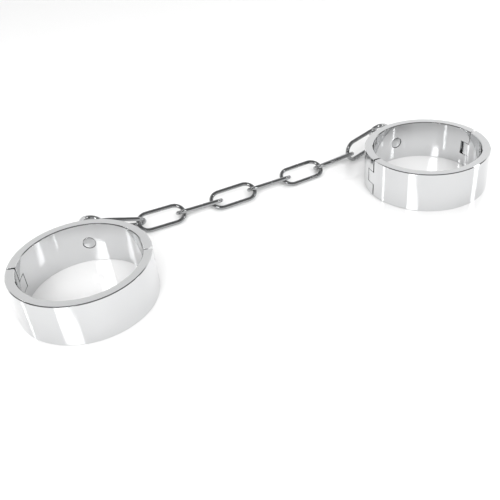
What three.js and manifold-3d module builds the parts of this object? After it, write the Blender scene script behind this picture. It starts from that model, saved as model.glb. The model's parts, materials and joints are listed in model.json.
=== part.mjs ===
// Pair of rigid steel wrist cuffs joined by a chain of eight welded links.
// Millimetres, +Z up. The cuffs lie flat, side by side along X, and the chain lies behind them (+Y).
// The origin is at the middle of the object's footprint, on the surface that it lies on.
import * as THREE from "three";
import { mergeVertices } from "three/addons/utils/BufferGeometryUtils.js";
import Module from "manifold-3d";

const wasm = await Module();
wasm.setup();

// ---- Driving dimensions ----
const boreRadius = 32.5;
const wall = 5;
const cuffHeight = 25;
const cuffSpacing = 219;
const runningGap = 0.2; // between a pin, screw or stud and its hole
const faceGap = 0.3; // between faces that slide past each other

// Where the two halves of a ring meet
const hingeSeam = 0.4; // width of the seam on the hinge side
const lockSeam = 1; // width of the groove on the lock side
const notchDepth = 2.7; // how far the hinge corner of the back half is cut back at the outer wall
const tongueLength = 6.3;
const tongueBottom = 8.2;
const tongueTop = 16.3;
const tongueEndRadius = 2.4; // rounded end of the tongue around the hinge pin
const fastenerInset = 3.8; // from the seam to the hinge pin and to the lock screw

const pinRadius = 1.3;
const pinTop = 22;
const screwRadius = 1.5;
const screwLength = 7;
const screwHoleTop = 13.9;
const socketRadius = 0.87; // hexagon socket, corner radius for a 1.5 mm key
const socketDepth = 2;
const underside = 0.4; // how far the pin and the screw sit inside the underside

// Swivel stud and eye
const studRadius = 1.8;
const studHeadRadius = 3.4;
const studHeadThickness = 1.8;
const studEnd = 43.2; // distances along the stud are from the axis of the ring
const collarRadius = 3.3;
const collarStep = 39.4;
const neckRadius = 2.5;
const eyeCentre = 53.5;
const eyeRadius = 6;
const eyeWireRadius = 1.5;

// Chain
const wireRadius = 1.25;
const linkLength = 28.9; // between the middles of the two end bows
const linkWidth = 12.6; // between the middles of the two side wires

// ---- Values worked out from them ----
const outerRadius = boreRadius + wall;
const middleRadius = boreRadius + wall / 2;
const fastenerX = Math.sqrt(middleRadius ** 2 - fastenerInset ** 2);
const eyeReach = eyeCentre + eyeRadius + eyeWireRadius;
const cuffLine = (outerRadius - eyeReach) / 2; // Y of both ring axes, which centres the footprint
const past = 1; // how far a cutting shape runs past the face that it cuts

const ringSegments = 24;
const holeSegments = 20;
const wireSides = 10;
const bowSegments = 24;

// ---- Materials ----
const mirrorSteel = () => new THREE.MeshStandardMaterial({ color: 0xd9dbde, roughness: 0.1, metalness: 1 });
const chainSteel = () => new THREE.MeshStandardMaterial({ color: 0xc4c6ca, roughness: 0.16, metalness: 1 });
const screwSteel = () => new THREE.MeshStandardMaterial({ color: 0x8f9296, roughness: 0.35, metalness: 1 });

// ---- Solids ----
function solidOf(geometry) {
  const bare = geometry.clone();
  bare.deleteAttribute("normal");
  bare.deleteAttribute("uv");
  const merged = mergeVertices(bare, 1e-4);
  return new wasm.Manifold(
    new wasm.Mesh({
      numProp: 3,
      vertProperties: new Float32Array(merged.attributes.position.array),
      triVerts: new Uint32Array(merged.index.array),
    }),
  );
}

function geometryOf(solid) {
  const { vertProperties, triVerts } = solid.getMesh();
  const geometry = new THREE.BufferGeometry();
  geometry.setAttribute("position", new THREE.BufferAttribute(new Float32Array(vertProperties), 3));
  geometry.setIndex(new THREE.BufferAttribute(new Uint32Array(triVerts), 1));
  geometry.computeVertexNormals();
  return geometry;
}

function named(name, geometry, material) {
  const mesh = new THREE.Mesh(geometry, material);
  mesh.name = name;
  return mesh;
}

function prism(shape, low, high) {
  const options = { depth: high - low, bevelEnabled: false, curveSegments: ringSegments };
  return solidOf(new THREE.ExtrudeGeometry(shape, options).translate(0, 0, low));
}

function block(x, y, z) {
  const geometry = new THREE.BoxGeometry(x[1] - x[0], y[1] - y[0], z[1] - z[0]);
  return solidOf(geometry.translate((x[0] + x[1]) / 2, (y[0] + y[1]) / 2, (z[0] + z[1]) / 2));
}

function uprightCylinder(radius, x, y, low, high, sides = holeSegments) {
  const geometry = new THREE.CylinderGeometry(radius, radius, high - low, sides).rotateX(Math.PI / 2);
  return solidOf(geometry.translate(x, y, (low + high) / 2));
}

// A solid of revolution about the stud's axis, which is local Y. Each point is [radius, distance].
function turned(points) {
  return solidOf(new THREE.LatheGeometry(points.map(([r, y]) => new THREE.Vector2(r, y)), holeSegments));
}

// Half of the ring, from its +X end round to its -X end, each end face set back from the line y = 0.
function halfRing(setBackRight, setBackLeft) {
  const shape = new THREE.Shape();
  const angle = (setBack, radius) => Math.asin(setBack / radius);
  shape.absarc(0, 0, outerRadius, angle(setBackRight, outerRadius), Math.PI - angle(setBackLeft, outerRadius));
  shape.absarc(0, 0, boreRadius, Math.PI - angle(setBackLeft, boreRadius), angle(setBackRight, boreRadius), true);
  return prism(shape, 0, cuffHeight);
}

// ---- The two halves of a cuff: the hinge is at +X, the lock at -X and the swivel eye at +Y ----
function backHalf() {
  const x = [boreRadius - 2 * past, outerRadius + past];
  const slotEnd = tongueLength + 2 * faceGap;
  const z = [tongueBottom - faceGap, tongueTop + faceGap];
  const notch = new THREE.Shape([
    new THREE.Vector2(middleRadius, hingeSeam / 2),
    new THREE.Vector2(middleRadius, -past),
    new THREE.Vector2(outerRadius + past, -past),
    new THREE.Vector2(outerRadius + past, (notchDepth * (wall / 2 + past)) / (wall / 2)),
  ]);
  return halfRing(hingeSeam / 2, lockSeam / 2)
    .subtract(prism(notch, -past, cuffHeight + past))
    .subtract(block(x, [-past, slotEnd], z))
    .subtract(block([-x[1], -x[0]], [-past, slotEnd], z))
    .subtract(uprightCylinder(pinRadius + runningGap, fastenerX, fastenerInset, -past, pinTop + faceGap))
    .subtract(uprightCylinder(screwRadius + runningGap, -fastenerX, fastenerInset, -past, tongueBottom))
    .subtract(studHole());
}

function studHole() {
  const headRadius = studHeadRadius + faceGap;
  const shoulder = boreRadius + studHeadThickness + faceGap;
  const start = boreRadius - 2 * past;
  const profile = [
    [0, start],
    [headRadius, start],
    [headRadius, shoulder],
    [studRadius + runningGap, shoulder],
    [studRadius + runningGap, outerRadius + past],
    [0, outerRadius + past],
  ];
  return turned(profile).translate([0, 0, cuffHeight / 2]);
}

function frontHalf() {
  const root = -2 * past;
  const ring = new THREE.Shape().absarc(0, 0, outerRadius, 0, 2 * Math.PI);
  ring.holes.push(new THREE.Path().absarc(0, 0, boreRadius, 0, 2 * Math.PI));
  const hingeEnd = new THREE.Shape();
  hingeEnd.moveTo(fastenerX - tongueEndRadius, root);
  hingeEnd.lineTo(fastenerX + tongueEndRadius, root);
  hingeEnd.absarc(fastenerX, fastenerInset, tongueEndRadius, 0, Math.PI);
  const lockEnd = block([-outerRadius - past, -boreRadius + past], [root, tongueLength], [tongueBottom, tongueTop]);
  const tongues = prism(hingeEnd, tongueBottom, tongueTop).add(lockEnd);
  return halfRing(lockSeam / 2, hingeSeam / 2)
    .rotate([0, 0, 180])
    .add(prism(ring, tongueBottom, tongueTop).intersect(tongues))
    .subtract(uprightCylinder(pinRadius + runningGap, fastenerX, fastenerInset, 0, cuffHeight))
    .subtract(uprightCylinder(screwRadius + runningGap, -fastenerX, fastenerInset, 0, screwHoleTop));
}

function lockScrew() {
  const top = underside + screwLength;
  return uprightCylinder(screwRadius, -fastenerX, fastenerInset, underside, top).subtract(
    uprightCylinder(socketRadius, -fastenerX, fastenerInset, -past, underside + socketDepth, 6),
  );
}

// ---- Swivel stud and eye, about local Y ----
function swivelStud() {
  const shoulder = boreRadius + studHeadThickness;
  return turned([
    [0, boreRadius],
    [studHeadRadius, boreRadius],
    [studHeadRadius, shoulder],
    [studRadius, shoulder],
    [studRadius, studEnd],
    [0, studEnd],
  ]);
}

function swivelEye() {
  const foot = outerRadius + faceGap;
  const ringFoot = eyeCentre - eyeRadius;
  const collar = turned([
    [0, studEnd + faceGap],
    [studRadius + runningGap, studEnd + faceGap],
    [studRadius + runningGap, foot],
    [collarRadius, foot],
    [collarRadius, collarStep],
    [neckRadius, collarStep + collarRadius - neckRadius],
    [neckRadius, ringFoot - eyeWireRadius / 2],
    [0, ringFoot],
  ]);
  const ring = new THREE.TorusGeometry(eyeRadius, eyeWireRadius, wireSides, bowSegments);
  return collar.add(solidOf(ring.translate(0, eyeCentre, 0)));
}

// ---- Chain link: a torus with its two bows drawn apart along X ----
function link() {
  const geometry = new THREE.TorusGeometry(linkWidth / 2, wireRadius, wireSides, bowSegments);
  geometry.rotateZ(Math.PI / bowSegments);
  const position = geometry.attributes.position;
  const shift = (linkLength - linkWidth) / 2;
  for (let i = 0; i < position.count; i += 1) {
    const x = position.getX(i);
    position.setX(i, x + Math.sign(x) * shift);
  }
  return geometryOf(solidOf(geometry));
}

// ---- Assembly ----
function cuff(side, x, turn, swivel) {
  const group = new THREE.Group();
  group.position.set(x, cuffLine, 0);
  group.rotation.z = THREE.MathUtils.degToRad(turn);
  const pin = uprightCylinder(pinRadius, fastenerX, fastenerInset, underside, pinTop);
  group.add(
    named(`${side}_back_half`, geometryOf(backHalf()), mirrorSteel()),
    named(`${side}_front_half`, geometryOf(frontHalf()), mirrorSteel()),
    named(`${side}_hinge_pin`, geometryOf(pin), screwSteel()),
    named(`${side}_lock_screw`, geometryOf(lockScrew()), screwSteel()),
  );
  const swivelGroup = new THREE.Group();
  swivelGroup.position.z = cuffHeight / 2;
  swivelGroup.rotation.y = THREE.MathUtils.degToRad(swivel);
  swivelGroup.add(
    named(`${side}_swivel_stud`, geometryOf(swivelStud()), mirrorSteel()),
    named(`${side}_swivel_eye`, geometryOf(swivelEye()), chainSteel()),
  );
  group.add(swivelGroup);
  return group;
}

// How each link lies: its middle measured from the left ring's axis, then heading, rise and roll in degrees.
const lay = [
  { at: [32.8, 48.9, 8.1], heading: -6, rise: -15, roll: -46 },
  { at: [57.4, 46.3, 4.0], heading: -4, rise: 1, roll: 24 },
  { at: [81.8, 43.5, 5.0], heading: 1, rise: -2, roll: -32 },
  { at: [105.3, 44.8, 4.3], heading: -4, rise: 3, roll: 22 },
  { at: [130.8, 44.5, 5.0], heading: 3, rise: -2, roll: -32 },
  { at: [155.9, 46.7, 3.9], heading: 3, rise: 0, roll: 23 },
  { at: [181.0, 46.9, 5.0], heading: 5, rise: 1, roll: -33 },
  { at: [206.0, 49.5, 8.7], heading: 11, rise: 7, roll: -93 },
];

function chain() {
  const group = new THREE.Group();
  group.position.set(-cuffSpacing / 2, cuffLine, 0);
  lay.forEach(({ at, heading, rise, roll }, i) => {
    const mesh = named(`chain_link_${i + 1}`, link(), chainSteel());
    const [turn, lift, lean] = [heading, -rise, roll].map(THREE.MathUtils.degToRad);
    mesh.position.set(...at);
    mesh.rotation.set(lean, lift, turn, "ZYX");
    group.add(mesh);
  });
  return group;
}

const handcuffs = new THREE.Group();
handcuffs.add(cuff("left", -cuffSpacing / 2, -18.3, 18), cuff("right", cuffSpacing / 2, -3.4, -21), chain());

export default handcuffs;
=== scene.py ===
import json
import math

import bmesh
import bpy
import numpy as np
from mathutils import Matrix, Vector


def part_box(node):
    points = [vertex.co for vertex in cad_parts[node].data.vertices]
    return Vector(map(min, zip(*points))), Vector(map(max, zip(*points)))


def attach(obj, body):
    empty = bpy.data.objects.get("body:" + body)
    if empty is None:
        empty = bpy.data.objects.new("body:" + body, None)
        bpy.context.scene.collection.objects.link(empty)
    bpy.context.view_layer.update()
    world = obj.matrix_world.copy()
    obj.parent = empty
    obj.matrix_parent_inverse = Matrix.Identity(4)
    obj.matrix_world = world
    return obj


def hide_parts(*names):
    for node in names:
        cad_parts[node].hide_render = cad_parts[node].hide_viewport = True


# Polished steel wrist cuffs joined by a welded chain. Every piece is built in millimetres in the
# frame of its own cuff or link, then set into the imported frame, which is in metres.

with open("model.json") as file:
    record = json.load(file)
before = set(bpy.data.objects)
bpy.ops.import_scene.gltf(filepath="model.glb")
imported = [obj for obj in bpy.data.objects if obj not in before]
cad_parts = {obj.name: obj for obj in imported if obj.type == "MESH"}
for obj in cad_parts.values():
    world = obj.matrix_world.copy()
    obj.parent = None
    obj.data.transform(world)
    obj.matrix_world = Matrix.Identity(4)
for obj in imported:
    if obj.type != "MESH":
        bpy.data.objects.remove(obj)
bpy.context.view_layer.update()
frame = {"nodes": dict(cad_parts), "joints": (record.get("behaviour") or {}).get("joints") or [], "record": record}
record = frame["record"]

# ---- Sizes in millimetres ----
# A bore, a hole, a pin, a screw, a wire and an eye are given by their radius.
BORE, WALL, HEIGHT = 32.5, 5.0, 25.0
MIDDLE = BORE + WALL / 2
RIM_BEVEL, SMALL_BEVEL = 0.5, 0.12
# The joint between the halves. SLOT and TONGUE are the bottom and the top of each, and a slot or
# a tongue ends as far from the plane through both seams as its END says.
HINGE_SEAM, LOCK_SEAM = 0.4, 1.0
NOTCH = 2.46  # how far the back half's outer corner is cut back at the hinge
SLOT_END, SLOT = 6.9, (7.9, 16.6)
TONGUE_END, TONGUE = 6.3, (8.2, 16.3)
# The hinge pin and the lock screw stand at (FASTENER, INSET) and (-FASTENER, INSET).
INSET = 3.8
FASTENER = math.sqrt(MIDDLE ** 2 - INSET ** 2)
UNDERSIDE = 0.4  # how far a pin or a screw ends above the underside
PIN_HOLE, PIN_HOLE_TOP = 1.5, 22.3
SCREW_HOLE, SCREW_HOLE_TOP = 1.7, 13.9
PIN, PIN_TOP = 1.3, 22.0
# The swivel, by distances from the ring's axis
SEAT, SEAT_END, SHANK_HOLE = 3.7, 34.6, 2.0
HEAD, HEAD_END, SHANK, SHANK_END = 3.4, 34.3, 1.8, 43.2
EYE_CENTRE, EYE_RADIUS, EYE_WIRE = 53.5, 5.99, 1.49
# The links, whose length and width are taken at the middle of the wire
WIRE, LINK_LENGTH, LINK_WIDTH = 1.25, 28.9, 12.6

# ---- Fineness of the meshes ----
SHARP_EDGE = 35  # degrees
ARC_STEPS, WIRE_SIDES = 4, 28
EYE_STEPS, STRAIGHT_STEPS, BOW_STEPS = 96, 80, 48


# ---- Places read from the frame ----
def joint(name):
    return next(j for j in frame["joints"] if j["name"] == name)


def cuff_place(side):
    """A cuff's own frame: +Y along its stud, hinge at +X, lock at -X, z from the floor."""
    opening = next(o for o in record["physics"]["openings"] if o["name"] == side + "_wrist")
    low, high = (Vector(corner) for corner in opening["box_m"])
    centre = Vector(((low.x + high.x) / 2, (low.y + high.y) / 2, 0))
    out = Vector(joint(side + "_eye_swivel")["pos_m"]) - centre
    turn = math.atan2(out.y, out.x) - math.pi / 2
    return Matrix.Translation(centre) @ Matrix.Rotation(turn, 4, "Z")


def outline_radius(side, place):
    """The rim's radius in millimetres, kept inside the frame's box."""
    centre = place.translation
    halves = [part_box(side + "_back_half"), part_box(side + "_front_half")]
    low = [min(box[0][i] for box in halves) for i in (0, 1)]
    high = [max(box[1][i] for box in halves) for i in (0, 1)]
    reach = [centre[i] - low[i] for i in (0, 1)] + [high[i] - centre[i] for i in (0, 1)]
    return min(BORE + WALL, min(reach) * 1000)


def link_place(node):
    """A link's own frame: X along it, Y across it towards the back, Z along its thickness."""
    points = np.array([v.co[:] for v in frame["nodes"][node].data.vertices])
    centre = points.mean(axis=0)
    _, _, axes = np.linalg.svd(points - centre)
    along, across = Vector(axes[0]), Vector(axes[1])
    along = along if along.x > 0 else -along
    across = across if across.y > 0 else -across
    columns = Matrix((along, across, along.cross(across))).transposed()
    return Matrix.Translation(Vector(centre)) @ columns.to_4x4()


def swivel_place(side, place):
    """A swivel's own frame: +Y along the stud, its origin on the ring's axis, the eye in XY."""
    points = np.array([v.co[:] for v in frame["nodes"][side + "_swivel_eye"].data.vertices])
    local = np.array([(place.inverted() @ Vector(p))[:] for p in points]) * 1000
    eye = local[local[:, 1] > EYE_CENTRE - 2]
    lift = np.array([eye[:, 0], eye[:, 2] - HEIGHT / 2])
    _, _, axes = np.linalg.svd(lift.T)
    turn = math.atan2(axes[0][1], axes[0][0])
    rise = Matrix.Translation((0, 0, HEIGHT / 2000))
    return place @ rise @ Matrix.Rotation(-turn, 4, "Y")


# ---- Mesh tools ----
def as_object(bm, name):
    """A scene object that holds the mesh. The bmesh is used up."""
    mesh = bpy.data.meshes.new(name)
    bm.to_mesh(mesh)
    bm.free()
    obj = bpy.data.objects.new(name, mesh)
    bpy.context.scene.collection.objects.link(obj)
    return obj


def set_piece(obj, body, node, material):
    """Makes an object stand for a CAD node, smooth shaded and in its material."""
    obj.data.materials.append(material)
    for polygon in obj.data.polygons:
        polygon.use_smooth = True
    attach(obj, body)
    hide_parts(node)


def piece(bm, name, body, node, material, place):
    """Sets a finished mesh into the frame as one piece, with its sharp edges kept sharp."""
    bm.transform(place @ Matrix.Scale(0.001, 4))
    bmesh.ops.recalc_face_normals(bm, faces=bm.faces)
    obj = as_object(bm, name)
    set_piece(obj, body, node, material)
    obj.data.set_sharp_from_angle(angle=math.radians(SHARP_EDGE))


def combined(bm, tools, operation):
    """bm with each tool mesh cut from it or joined to it, exactly."""
    base = as_object(bm, "base")
    made = [base]
    for tool in tools:
        modifier = base.modifiers.new("combine", "BOOLEAN")
        modifier.operation, modifier.solver = operation, "EXACT"
        modifier.object = as_object(tool, "tool")
        made.append(modifier.object)
    depsgraph = bpy.context.evaluated_depsgraph_get()
    result = bmesh.new()
    result.from_object(base, depsgraph)
    for obj in made:
        mesh = obj.data
        bpy.data.objects.remove(obj)
        bpy.data.meshes.remove(mesh)
    return result


def rounded(corners, radius):
    """The profile with every inner corner replaced by a small arc."""
    points = [Vector(corners[0])]
    for before, corner, after in zip(corners, corners[1:], corners[2:]):
        corner = Vector(corner)
        into, out = Vector(before) - corner, Vector(after) - corner
        cut = min(radius, into.length * 0.45, out.length * 0.45)
        start, end = corner + into.normalized() * cut, corner + out.normalized() * cut
        for k in range(ARC_STEPS + 1):
            t = k / ARC_STEPS
            points.append(start * (1 - t) ** 2 + corner * 2 * t * (1 - t) + end * t ** 2)
    return points + [Vector(corners[-1])]


def turned(profile, steps=64):
    """A solid of revolution about +Y from (radius, distance) points that start and end at r = 0."""
    bm = bmesh.new()
    ends = [bm.verts.new((0, profile[i][1], 0)) for i in (0, -1)]
    rings = []
    for radius, y in profile[1:-1]:
        angles = [2 * math.pi * k / steps for k in range(steps)]
        rings.append([bm.verts.new((radius * math.cos(a), y, radius * math.sin(a))) for a in angles])
    for k in range(steps):
        after = (k + 1) % steps
        bm.faces.new((ends[0], rings[0][k], rings[0][after]))
        bm.faces.new((ends[1], rings[-1][after], rings[-1][k]))
        for low, high in zip(rings, rings[1:]):
            bm.faces.new((low[k], high[k], high[after], low[after]))
    bmesh.ops.recalc_face_normals(bm, faces=bm.faces)
    return bm


def upright(bm, x, y):
    """Stands a turned solid up, so that its distances run along +Z at (x, y)."""
    bm.transform(Matrix.Translation((x, y, 0)) @ Matrix.Rotation(math.pi / 2, 4, "X"))
    return bm


def rod(radius, low, high):
    return turned([(0, low), (radius, low), (radius, high), (0, high)])


def swept(path, wire):
    """A closed tube along a path of points, each with an outward direction and a radius scale."""
    bm = bmesh.new()
    rings = []
    for point, outward, scale in path:
        ring = []
        for side in range(WIRE_SIDES):
            a = 2 * math.pi * side / WIRE_SIDES
            offset = outward * math.cos(a) + Vector((0, 0, 1)) * math.sin(a)
            ring.append(bm.verts.new(point + offset * wire * scale))
        rings.append(ring)
    for ring, after in zip(rings, rings[1:] + rings[:1]):
        for side in range(WIRE_SIDES):
            turn = (side + 1) % WIRE_SIDES
            bm.faces.new((ring[side], ring[turn], after[turn], after[side]))
    bmesh.ops.recalc_face_normals(bm, faces=bm.faces)
    return bm


# ---- The two halves of a cuff ----
# A half is a curved grid of cells. A column is a function that gives the angle of its cells' sides
# from the radius and from across, which runs from -1 at the bore to 1 at the outside.
def near(y):
    return lambda radius, across: math.asin(y / radius)


def far(y):
    return lambda radius, across: math.pi - math.asin(y / radius)


def spokes(low, high, count):
    return [lambda radius, across, a=a: a for a in np.radians(np.linspace(low, high, count))]


def skin(outer, columns, across, bands, kept):
    """The outer skin of a curved grid of cells; kept(column, band) says which cells are solid."""
    bm = bmesh.new()
    verts = {}
    counts = (len(columns) - 1, len(across) - 1, len(bands) - 1)

    def vert(key):
        if key not in verts:
            i, j, k = key
            middle, half = (BORE + outer) / 2, (outer - BORE) / 2
            radius = middle + half * across[j]
            angle = columns[i](radius, across[j])
            verts[key] = bm.verts.new((radius * math.cos(angle), radius * math.sin(angle), bands[k]))
        return verts[key]

    def solid(cell):
        return all(0 <= c < n for c, n in zip(cell, counts)) and kept(cell[0], cell[2])

    for cell in np.ndindex(*counts):
        if not solid(cell):
            continue
        for axis in range(3):
            for side in (0, 1):
                beyond = list(cell)
                beyond[axis] += 2 * side - 1
                if solid(beyond):
                    continue
                corners = []
                for a, b in ((0, 0), (1, 0), (1, 1), (0, 1)):
                    step = [a, b]
                    step.insert(axis, side)
                    corners.append(vert(tuple(c + s for c, s in zip(cell, step))))
                bm.faces.new(corners)
    bmesh.ops.recalc_face_normals(bm, faces=bm.faces)
    return bm


def bevelled(bm, outer):
    """Rounds the rim edges that run round the ring, then eases every other outer corner."""
    def runs_round(edge):
        a, b = edge.verts
        level = abs(a.co.z - b.co.z) < 0.01 and (a.co.z < 0.01 or a.co.z > HEIGHT - 0.01)
        radii = [v.co.xy.length for v in edge.verts]
        return level and all(min(abs(r - BORE), abs(r - outer)) < 0.01 for r in radii) \
            and abs(radii[0] - radii[1]) < 0.01 and edge.calc_face_angle() > 1

    for chosen, width, segments, profile in (
        (runs_round, RIM_BEVEL, 6, 0.25),
        (lambda e: e.calc_face_angle_signed() > math.radians(50), SMALL_BEVEL, 2, 0.5),
    ):
        edges = [e for e in bm.edges if len(e.link_faces) == 2 and chosen(e)]
        bmesh.ops.bevel(bm, geom=edges, offset=width, offset_type="OFFSET", segments=segments,
                        profile=profile, affect="EDGES", clamp_overlap=True)
    for vert in bm.verts:
        vert.co.z = min(max(vert.co.z, 0), HEIGHT)
    return bm


def back_half(outer):
    """From the hinge at +X round to the lock at -X, slotted for the tongues at both ends.

    Each end has three columns: the seam, one in the middle of the slot, and the slot's end.
    """
    def notched(radius, across):
        return math.asin((HINGE_SEAM / 2 + max(across, 0) * NOTCH) / radius)

    columns = [notched, near(4.6), near(SLOT_END), *spokes(15, 165, 61)]
    columns += [far(SLOT_END), far(3.7), far(LOCK_SEAM / 2)]
    last = len(columns) - 1

    def kept(column, band):
        return band != 1 or 2 <= column < last - 2

    bm = skin(outer, columns, (-1, 0, 1), (0, *SLOT, HEIGHT), kept)
    bevelled(bm, outer)
    inside, outside, below = BORE - 2.5, 40, -1  # where the cutting tools start or end, in the open
    stud = turned([(0, inside), (SEAT, inside), (SEAT, SEAT_END), (SHANK_HOLE, SEAT_END),
                   (SHANK_HOLE, outside), (0, outside)])
    stud.transform(Matrix.Translation((0, 0, HEIGHT / 2)))
    pin = upright(rod(PIN_HOLE, below, PIN_HOLE_TOP), FASTENER, INSET)
    screw = upright(rod(SCREW_HOLE, below, TONGUE[0]), -FASTENER, INSET)
    return combined(bm, [stud, pin, screw], "DIFFERENCE")


def front_half(outer):
    """Built turned half round: a square tongue for the lock at +X, a round one for the hinge at -X.

    Each end has four columns: the tongue's end, its middle, the seam, and one past the seam. There
    are more cells across than in the back half, for the round tongue's end.
    """
    def tip(radius, across):
        return math.pi + math.asin((INSET + WALL / 2 * math.sqrt(1 - across ** 2)) / radius)

    columns = [near(-TONGUE_END), near(-2.9), near(LOCK_SEAM / 2), near(4.6)]
    columns += [*spokes(12, 168, 63), far(4.6), far(HINGE_SEAM / 2), far(-1.9), tip]
    last = len(columns) - 1

    def kept(column, band):
        return band == 1 or 2 <= column < last - 2

    across = (-1, -0.78, -0.42, 0, 0.42, 0.78, 1)
    bm = skin(outer, columns, across, (0, *TONGUE, HEIGHT), kept)
    bevelled(bm, outer)
    pin = upright(rod(PIN_HOLE, 0, HEIGHT), -FASTENER, -INSET)
    screw = upright(rod(SCREW_HOLE, 0, SCREW_HOLE_TOP), FASTENER, -INSET)
    return combined(bm, [pin, screw], "DIFFERENCE")


def true_normal(face, outer, posts):
    """A function giving the exact surface normal of a main face, or None on a bevel.

    posts are the places of the pin and the screw. The limits tell a face from its neighbours.
    """
    level, upright_face, on_post, on_wall = 0.999, 0.02, 0.96, 0.998
    normal, centre = face.normal, face.calc_center_median()
    flat = Vector((centre.x, centre.y, 0))
    if abs(normal.z) > level:
        return lambda co: normal
    stud = Vector((centre.x, 0, centre.z - HEIGHT / 2))
    if centre.y > BORE - 2.5 and stud.length < SEAT + 0.05 and abs(normal.y) < upright_face:
        return lambda co: -Vector((co.x, 0, co.z - HEIGHT / 2)).normalized()
    if abs(normal.z) > upright_face:
        return None
    for x, y in posts:
        spoke = flat - Vector((x, y, 0))
        if spoke.length < WALL / 2 + 0.1 and abs(normal.dot(spoke.normalized())) > on_post:
            sign = 1 if normal.dot(spoke) > 0 else -1
            return lambda co: sign * Vector((co.x - x, co.y - y, 0)).normalized()
    by_wall = min(abs(flat.length - outer), abs(flat.length - BORE)) < 0.1
    if by_wall and abs(normal.dot(flat.normalized())) > on_wall:
        sign = 1 if normal.dot(flat) > 0 else -1
        return lambda co: sign * Vector((co.x, co.y, 0)).normalized()
    on_seam = abs(normal.x) < upright_face
    on_notch = normal.y < 0 and abs(normal.x) > 0.6 and flat.length < outer - RIM_BEVEL
    return (lambda co: normal) if on_seam or on_notch else None


def ring_normals(bm, outer, posts):
    """Exact normals for every face corner, blended only across the bevels."""
    bm.normal_update()
    main = {face: true_normal(face, outer, posts) for face in bm.faces}
    corners = []
    for face in bm.faces:
        for loop in face.loops:
            vert = loop.vert
            if main[face]:
                corners.append(main[face](vert.co))
                continue
            known = [main[f](vert.co) for f in vert.link_faces if main[f]]
            if known:
                corners.append(max(known, key=face.normal.dot))
            else:
                corners.append(sum((f.normal for f in vert.link_faces), Vector()).normalized())
    return corners


def ring_uv(bm):
    """U runs round the ring and V across it, both in millimetres. A half has no face at -Y."""
    layer = bm.loops.layers.uv.new("UVMap")
    for face in bm.faces:
        lying = abs(face.normal.z) > 0.7
        for loop in face.loops:
            x, y, z = loop.vert.co
            angle = (math.atan2(y, x) + math.pi / 2) % (2 * math.pi) - math.pi / 2
            loop[layer].uv = (angle * MIDDLE, math.hypot(x, y) if lying else z)


def ring_piece(bm, name, body, node, material, place, outer, posts):
    """Sets one half of a ring into the frame, with its exact normals."""
    normals = ring_normals(bm, outer, posts)
    ring_uv(bm)
    turn = place.to_3x3()
    bm.transform(place @ Matrix.Scale(0.001, 4))
    obj = as_object(bm, name)
    set_piece(obj, body, node, material)
    obj.data.normals_split_custom_set([(turn @ n).normalized() for n in normals])


# ---- Fasteners, swivels and links ----
def hinge_pin():
    profile = rounded([(0, UNDERSIDE), (PIN, UNDERSIDE), (PIN, PIN_TOP), (0, PIN_TOP)], 0.25)
    return upright(turned(profile, 48), FASTENER, INSET)


def lock_screw():
    """A socket set screw: a helical thread, tapered ends and a hexagon socket that faces down."""
    pitch, length, steps = 0.5, 7.0, 48
    crest, thread, end = 1.5, 0.27, 1.15  # the radius outside, the thread's depth, the ends' radius
    foot_taper, tip_taper = 0.4, 0.6
    rows = int(length / pitch * 8)
    bm = bmesh.new()
    rings = []
    for row in range(rows + 1):
        z = UNDERSIDE + length * row / rows
        ease = min(1, (z - UNDERSIDE) / foot_taper, (UNDERSIDE + length - z) / tip_taper)
        ring = []
        for k in range(steps):
            phase = (z / pitch - k / steps) % 1
            depth = thread * (1 - abs(2 * phase - 1))
            radius = (crest - depth) * ease + end * (1 - ease)
            a = 2 * math.pi * k / steps
            ring.append(bm.verts.new((radius * math.cos(a), radius * math.sin(a), z)))
        rings.append(ring)
    for low, high in zip(rings, rings[1:]):
        for k in range(steps):
            after = (k + 1) % steps
            bm.faces.new((low[k], low[after], high[after], high[k]))
    bm.faces.new(rings[0][::-1])
    bm.faces.new(rings[-1])
    socket = turned([(0, -1), (0.87, -1), (0.87, 2.4), (0, 2.9)], 6)
    bm = combined(bm, [upright(socket, 0, 0)], "DIFFERENCE")
    bm.transform(Matrix.Translation((-FASTENER, INSET, 0)))
    return bm


def swivel_stud():
    """The flat disc inside the ring, with an eased edge, and its shank through the wall."""
    outline = [(0, BORE + 0.02), (HEAD, BORE + 0.1), (HEAD, HEAD_END), (SHANK, HEAD_END),
               (SHANK, SHANK_END), (0, SHANK_END)]
    bm = turned(rounded(outline, 0.16), 72)
    layer = bm.loops.layers.uv.new("UVMap")
    for face in bm.faces:
        for loop in face.loops:
            x, y, z = loop.vert.co
            loop[layer].uv = (y, math.hypot(x, z))
    return bm


def swivel_eye():
    """The eye's ring on its foot, a collar that is bored from below for the stud's shank."""
    bored = [(0, 43.5), (2, 43.5), (2, 37.8)]
    collar = [(3.3, 37.8), (3.3, 39.4), (2.5, 40.2), (2.5, 46.6), (1.6, 47.4), (0, 47.5)]
    foot = turned(rounded(bored + collar, 0.35))
    path = []
    for k in range(EYE_STEPS):
        a = 2 * math.pi * k / EYE_STEPS
        outward = Vector((math.cos(a), math.sin(a), 0))
        path.append((Vector((0, EYE_CENTRE, 0)) + outward * EYE_RADIUS, outward, 1))
    return combined(swept(path, EYE_WIRE), [foot], "UNION")


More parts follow.
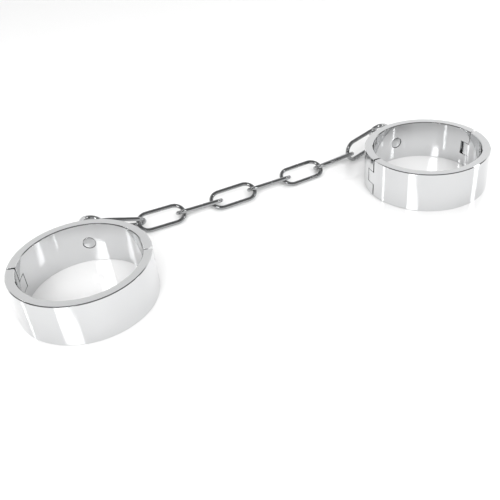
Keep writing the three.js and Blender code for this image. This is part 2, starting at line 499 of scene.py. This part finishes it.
def link_path(weld):
    """The middle of the wire, starting on the back wire, with the weld on one of the side wires."""
    bow, straight = LINK_WIDTH / 2, LINK_LENGTH - LINK_WIDTH
    weld_side, weld_x = weld
    path = []

    def swelling(offset):
        """A low bead with a narrow groove beside it."""
        bead = math.exp(-(offset / 0.8) ** 2)
        groove = math.exp(-((offset - 1.1) / 0.3) ** 2)
        return 1 + 0.05 * bead - 0.11 * groove

    for side in (1, -1):
        for k in range(STRAIGHT_STEPS):
            x = (k / STRAIGHT_STEPS - 0.5) * straight * -side
            scale = swelling((x - weld_x) * side) if side == weld_side else 1
            path.append((Vector((x, side * bow, 0)), Vector((0, side, 0)), scale))
        for k in range(BOW_STEPS):
            a = math.pi / 2 * side + math.pi * k / BOW_STEPS
            outward = Vector((math.cos(a), math.sin(a), 0))
            path.append((outward * bow - Vector((side * straight / 2, 0, 0)), outward, 1))
    return path


# ---- Materials ----
class Nodes:
    """Short calls for building a node tree."""

    def __init__(self, tree):
        self.tree = tree
        tree.nodes.clear()

    def add(self, kind, inputs=(), **settings):
        node = self.tree.nodes.new(kind)
        for key, value in settings.items():
            setattr(node, key, value)
        for key, value in dict(inputs).items():
            if isinstance(value, bpy.types.NodeSocket):
                self.tree.links.new(value, node.inputs[key])
            else:
                node.inputs[key].default_value = value
        return node

    def noise(self, vector, scale, detail=3, rough=0.5):
        inputs = {"Vector": vector, "Scale": scale, "Detail": detail, "Roughness": rough}
        return self.add("ShaderNodeTexNoise", inputs).outputs["Fac"]

    def ramp(self, value, low, high, to_low=0.0, to_high=1.0, kind="LINEAR"):
        inputs = {"Value": value, "From Min": low, "From Max": high,
                  "To Min": to_low, "To Max": to_high}
        node = self.add("ShaderNodeMapRange", inputs, interpolation_type=kind)
        return node.outputs["Result"]

    def maths(self, operation, a, b=0.0):
        return self.add("ShaderNodeMath", {0: a, 1: b}, operation=operation).outputs[0]

    def stretched(self, vector, scale):
        node = self.add("ShaderNodeMapping", {"Vector": vector, "Scale": scale})
        return node.outputs["Vector"]


def finish_steel(nodes, colour, rough, height, bump):
    """A metal surface with the given roughness and relief, and faint changes of tone."""
    place = nodes.add("ShaderNodeTexCoord").outputs["Object"]
    cloud = nodes.noise(place, 55, 3)
    tone = nodes.ramp(cloud, 0.3, 0.7)
    low, high = [(*(c * shade for c in colour), 1) for shade in (0.985, 1.01)]
    # A colour Mix node's factor is input 0, its colours are inputs 6 and 7, and its result output 2.
    mix = nodes.add("ShaderNodeMix", data_type="RGBA")
    nodes.tree.links.new(tone, mix.inputs[0])
    mix.inputs[6].default_value, mix.inputs[7].default_value = low, high
    relief = nodes.add("ShaderNodeBump", {"Height": height, "Strength": bump, "Distance": 0.00002})
    shader = nodes.add("ShaderNodeBsdfPrincipled", {
        "Base Color": mix.outputs[2], "Metallic": 1.0, "Roughness": rough,
        "Normal": relief.outputs["Normal"]})
    out = nodes.add("ShaderNodeOutputMaterial")
    nodes.tree.links.new(shader.outputs["BSDF"], out.inputs["Surface"])


def new_material(name):
    material = bpy.data.materials.new(name)
    material.use_nodes = True
    return material, Nodes(material.node_tree)


def cuff_steel():
    """Mirror polish: hairlines that run round the ring, stray scratches and faint smears."""
    material, nodes = new_material("cuff_steel")
    uv = nodes.add("ShaderNodeTexCoord").outputs["UV"]
    place = nodes.add("ShaderNodeTexCoord").outputs["Object"]
    hairs = nodes.noise(nodes.stretched(uv, (0.05, 9, 1)), 1, 4, 0.7)
    stray = nodes.noise(nodes.stretched(uv, (1.2, 0.12, 1)), 2.2, 2)
    scratch = nodes.ramp(stray, 0.66, 0.72)
    smear = nodes.ramp(nodes.noise(place, 70, 4, 0.6), 0.35, 0.75)
    rough = nodes.ramp(hairs, 0.2, 0.8, 0.035, 0.06)
    rough = nodes.maths("ADD", rough, nodes.maths("MULTIPLY", smear, 0.03))
    rough = nodes.maths("ADD", rough, nodes.maths("MULTIPLY", scratch, 0.05))
    finish_steel(nodes, (0.68, 0.685, 0.69), rough, hairs, 0.06)
    return material


def stud_steel():
    """A polished face with fine turning marks about the stud, its steel painted darker than the ring's as painted
    shade standing for the darker reflection in the disc.
    """
    material, nodes = new_material("stud_steel")
    uv = nodes.add("ShaderNodeTexCoord").outputs["UV"]
    rings = nodes.add("ShaderNodeTexWave", {"Vector": uv, "Scale": 2.5, "Distortion": 1.0},
                      bands_direction="Y").outputs["Fac"]
    rough = nodes.ramp(rings, 0, 1, 0.09, 0.16)
    finish_steel(nodes, (0.54, 0.545, 0.55), rough, rings, 0.05)
    return material


def chain_steel(name, shade):
    """Drawn wire with handling marks, small dents and patches of wear. Its tone holds painted light: the chain's
    copy is painted darker to deepen the dark reflections along the wires, and the eye's copy is painted brighter
    as a painted reflection of the bright back wall and the cuff.
    """
    material, nodes = new_material(name)
    place = nodes.add("ShaderNodeTexCoord").outputs["Object"]
    marks = nodes.noise(place, 420, 4, 0.6)
    wear = nodes.noise(place, 90, 3)
    rough = nodes.ramp(wear, 0.3, 0.7, 0.05, 0.11)
    finish_steel(nodes, (shade, shade + 0.005, shade + 0.01), rough, marks, 0.1)
    return material


def fastener_steel():
    """Darker satin steel for the pins and screws."""
    material, nodes = new_material("fastener_steel")
    place = nodes.add("ShaderNodeTexCoord").outputs["Object"]
    grain = nodes.noise(nodes.stretched(place, (1, 1, 6)), 900, 3)
    rough = nodes.ramp(grain, 0.2, 0.8, 0.24, 0.36)
    finish_steel(nodes, (0.5, 0.505, 0.52), rough, grain, 0.2)
    return material


def floor_material():
    """Glossy white acrylic."""
    material, nodes = new_material("white_floor")
    place = nodes.add("ShaderNodeTexCoord").outputs["Object"]
    rough = nodes.ramp(nodes.noise(place, 3, 2), 0.3, 0.7, 0.07, 0.1)
    shader = nodes.add("ShaderNodeBsdfPrincipled", {
        "Base Color": (0.83, 0.83, 0.83, 1), "Roughness": rough, "IOR": 1.6})
    out = nodes.add("ShaderNodeOutputMaterial")
    nodes.tree.links.new(shader.outputs["BSDF"], out.inputs["Surface"])
    return material


# ---- Building the object ----
def build_cuff(side, metals):
    place = cuff_place(side)
    outer = outline_radius(side, place)
    pin, screw = (FASTENER, INSET), (-FASTENER, INSET)
    turned_place = place @ Matrix.Rotation(math.pi, 4, "Z")
    turned_posts = [(-x, -y) for x, y in (pin, screw)]
    for half, build, where, posts in (
        ("back", back_half, place, [pin, screw]),
        ("front", front_half, turned_place, turned_posts),
    ):
        ring_piece(build(outer), f"{side}_{half}_ring", f"{side}_{half}", f"{side}_{half}_half",
                   metals["cuff_steel"], where, outer, posts)
    piece(hinge_pin(), side + "_pin", side + "_back", side + "_hinge_pin",
          metals["fastener_steel"], place)
    piece(lock_screw(), side + "_screw", side + "_lock", side + "_lock_screw",
          metals["fastener_steel"], place)
    swivel = swivel_place(side, place)
    piece(swivel_stud(), side + "_stud", side + "_swivel", side + "_swivel_stud",
          metals["stud_steel"], swivel)
    piece(swivel_eye(), side + "_eye", side + "_swivel", side + "_swivel_eye",
          metals["eye_steel_painted_reflection"], swivel)


def build_chain(metals):
    # Each link's weld: which side wire it is on (1 back, -1 front) and how far along it.
    welds = ((1, 0), (1, 0.5), (-1, 1), (-1, 2), (-1, 0), (1, 0), (-1, -1), (-1, -3))
    for number, weld in enumerate(welds, start=1):
        node = f"chain_link_{number}"
        piece(swept(link_path(weld), WIRE), f"link_{number}_wire", f"link_{number}", node,
              metals["chain_steel"], link_place(node))


# ---- Floor, lights and camera ----
def floor():
    """A glossy white floor, large enough to reach the horizon in low views."""
    mesh = bpy.data.meshes.new("floor")
    half = 12.0
    corners = [(-half, -half, 0), (half, -half, 0), (half, half, 0), (-half, half, 0)]
    mesh.from_pydata(corners, [], [(0, 1, 2, 3)])
    mesh.materials.append(floor_material())
    obj = bpy.data.objects.new("floor", mesh)
    bpy.context.scene.collection.objects.link(obj)


def direction(heading, rise):
    """Unit vector; heading is counted from +X towards +Y, both in degrees."""
    h, r = math.radians(heading), math.radians(rise)
    return Vector((math.cos(h) * math.cos(r), math.sin(h) * math.cos(r), math.sin(r)))


def softbox(name, spot, aim, size, radiance, seen=True):
    """A soft rectangular light at spot, facing aim; seen says whether it shows in reflections."""
    light = bpy.data.lights.new(name, "AREA")
    light.shape, light.size, light.size_y = "RECTANGLE", size[0], size[1]
    light.energy = radiance * math.pi * size[0] * size[1]
    obj = bpy.data.objects.new(name, light)
    obj.location = spot
    obj.rotation_euler = (Vector(aim) - Vector(spot)).to_track_quat("-Z", "Y").to_euler()
    obj.visible_camera, obj.visible_glossy = False, seen
    bpy.context.scene.collection.objects.link(obj)


def surroundings():
    """A white room. Above a bright band at the horizon, the half behind the camera is dark, and so
    is a patch at the back left."""
    world = bpy.data.worlds.new("room")
    bpy.context.scene.world = world
    world.use_nodes = True
    nodes = Nodes(world.node_tree)
    way = nodes.add("ShaderNodeTexCoord").outputs["Generated"]

    def lobe(heading, rise, full, edge):
        """1 within full degrees of a direction, fading to 0 at edge degrees from it."""
        centre = direction(heading, rise)
        dot = nodes.add("ShaderNodeVectorMath", {0: way, 1: centre}, operation="DOT_PRODUCT")
        low, high = math.cos(math.radians(edge)), math.cos(math.radians(full))
        return nodes.ramp(dot.outputs["Value"], low, high, kind="SMOOTHSTEP")

    def dimmed(value, amount, mask):
        keep = nodes.maths("SUBTRACT", 1.0, nodes.maths("MULTIPLY", mask, amount))
        return nodes.maths("MULTIPLY", value, keep)

    light = dimmed(1.0, 0.1, lobe(92, 32, 10, 44))
    height = nodes.add("ShaderNodeSeparateXYZ", {0: way}).outputs["Z"]
    above = nodes.ramp(height, 0.08, 0.22, kind="SMOOTHSTEP")
    light = dimmed(light, 0.8, nodes.maths("MULTIPLY", above, lobe(-95, 50, 70, 85)))
    light = dimmed(light, 0.8, nodes.maths("MULTIPLY", above, lobe(152, 12, 22, 36)))
    background = nodes.add("ShaderNodeBackground", {"Color": (1, 1, 1, 1), "Strength": light})
    out = nodes.add("ShaderNodeOutputWorld")
    nodes.tree.links.new(background.outputs["Background"], out.inputs["Surface"])


def lighting():
    surroundings()
    softbox("left_front_box", (-0.66, -0.47, 0.565), (-0.435, 0.5, 0.515), (0.46, 0.24), 8)
    softbox("left_back_strip", (-5.2, 3.15, 4.4), (-0.1, 0, 0), (0.4, 2.1), 11)
    softbox("right_front_box", (0.72, -0.32, 0.355), (0.11, 0, 0), (0.125, 0.16), 8)
    softbox("ceiling", (0, -0.1, 1.5), (0, 0, 0), (2.4, 2.4), 1.15, seen=False)
    softbox("front_fill", (-0.3, -2.0, 1.5), (0, 0, 0), (2.5, 1.2), 6.8, seen=False)


def camera():
    """In front of the left cuff, looking down across both cuffs."""
    from_cuff = Vector((-0.0218, -0.2795, 0.2108))  # metres from the left ring's axis on the floor
    pan, tilt, roll = -22.56, 54.33, -5.87
    data = bpy.data.cameras.new("camera")
    data.lens, data.sensor_width = 45.85, 36
    data.clip_start, data.clip_end = 0.01, 50
    obj = bpy.data.objects.new("camera", data)
    spot = cuff_place("left").translation + from_cuff
    turns = [Matrix.Rotation(math.radians(angle), 4, axis)
             for angle, axis in ((pan, "Z"), (tilt, "X"), (roll, "Z"))]
    obj.matrix_world = Matrix.Translation(spot) @ turns[0] @ turns[1] @ turns[2]
    bpy.context.scene.collection.objects.link(obj)
    bpy.context.scene.camera = obj


# painted shade: the stud steel is darker than the cuff steel, standing for the darker reflection in the disc
metals = {"cuff_steel": cuff_steel(), "stud_steel": stud_steel(),
          # painted shade: the chain steel's tone is darkened to deepen the dark reflections along the wires
          "chain_steel": chain_steel("chain_steel", 0.38),
          # painted reflection: the eye's copy of the chain steel is brighter, standing for the bright back wall
          # and cuff it reflects
          "eye_steel_painted_reflection": chain_steel("eye_steel_painted_reflection", 0.62),
          "fastener_steel": fastener_steel()}
build_cuff("left", metals)
build_cuff("right", metals)
build_chain(metals)
floor()
lighting()
camera()
bpy.context.scene.view_settings.view_transform = "Standard"
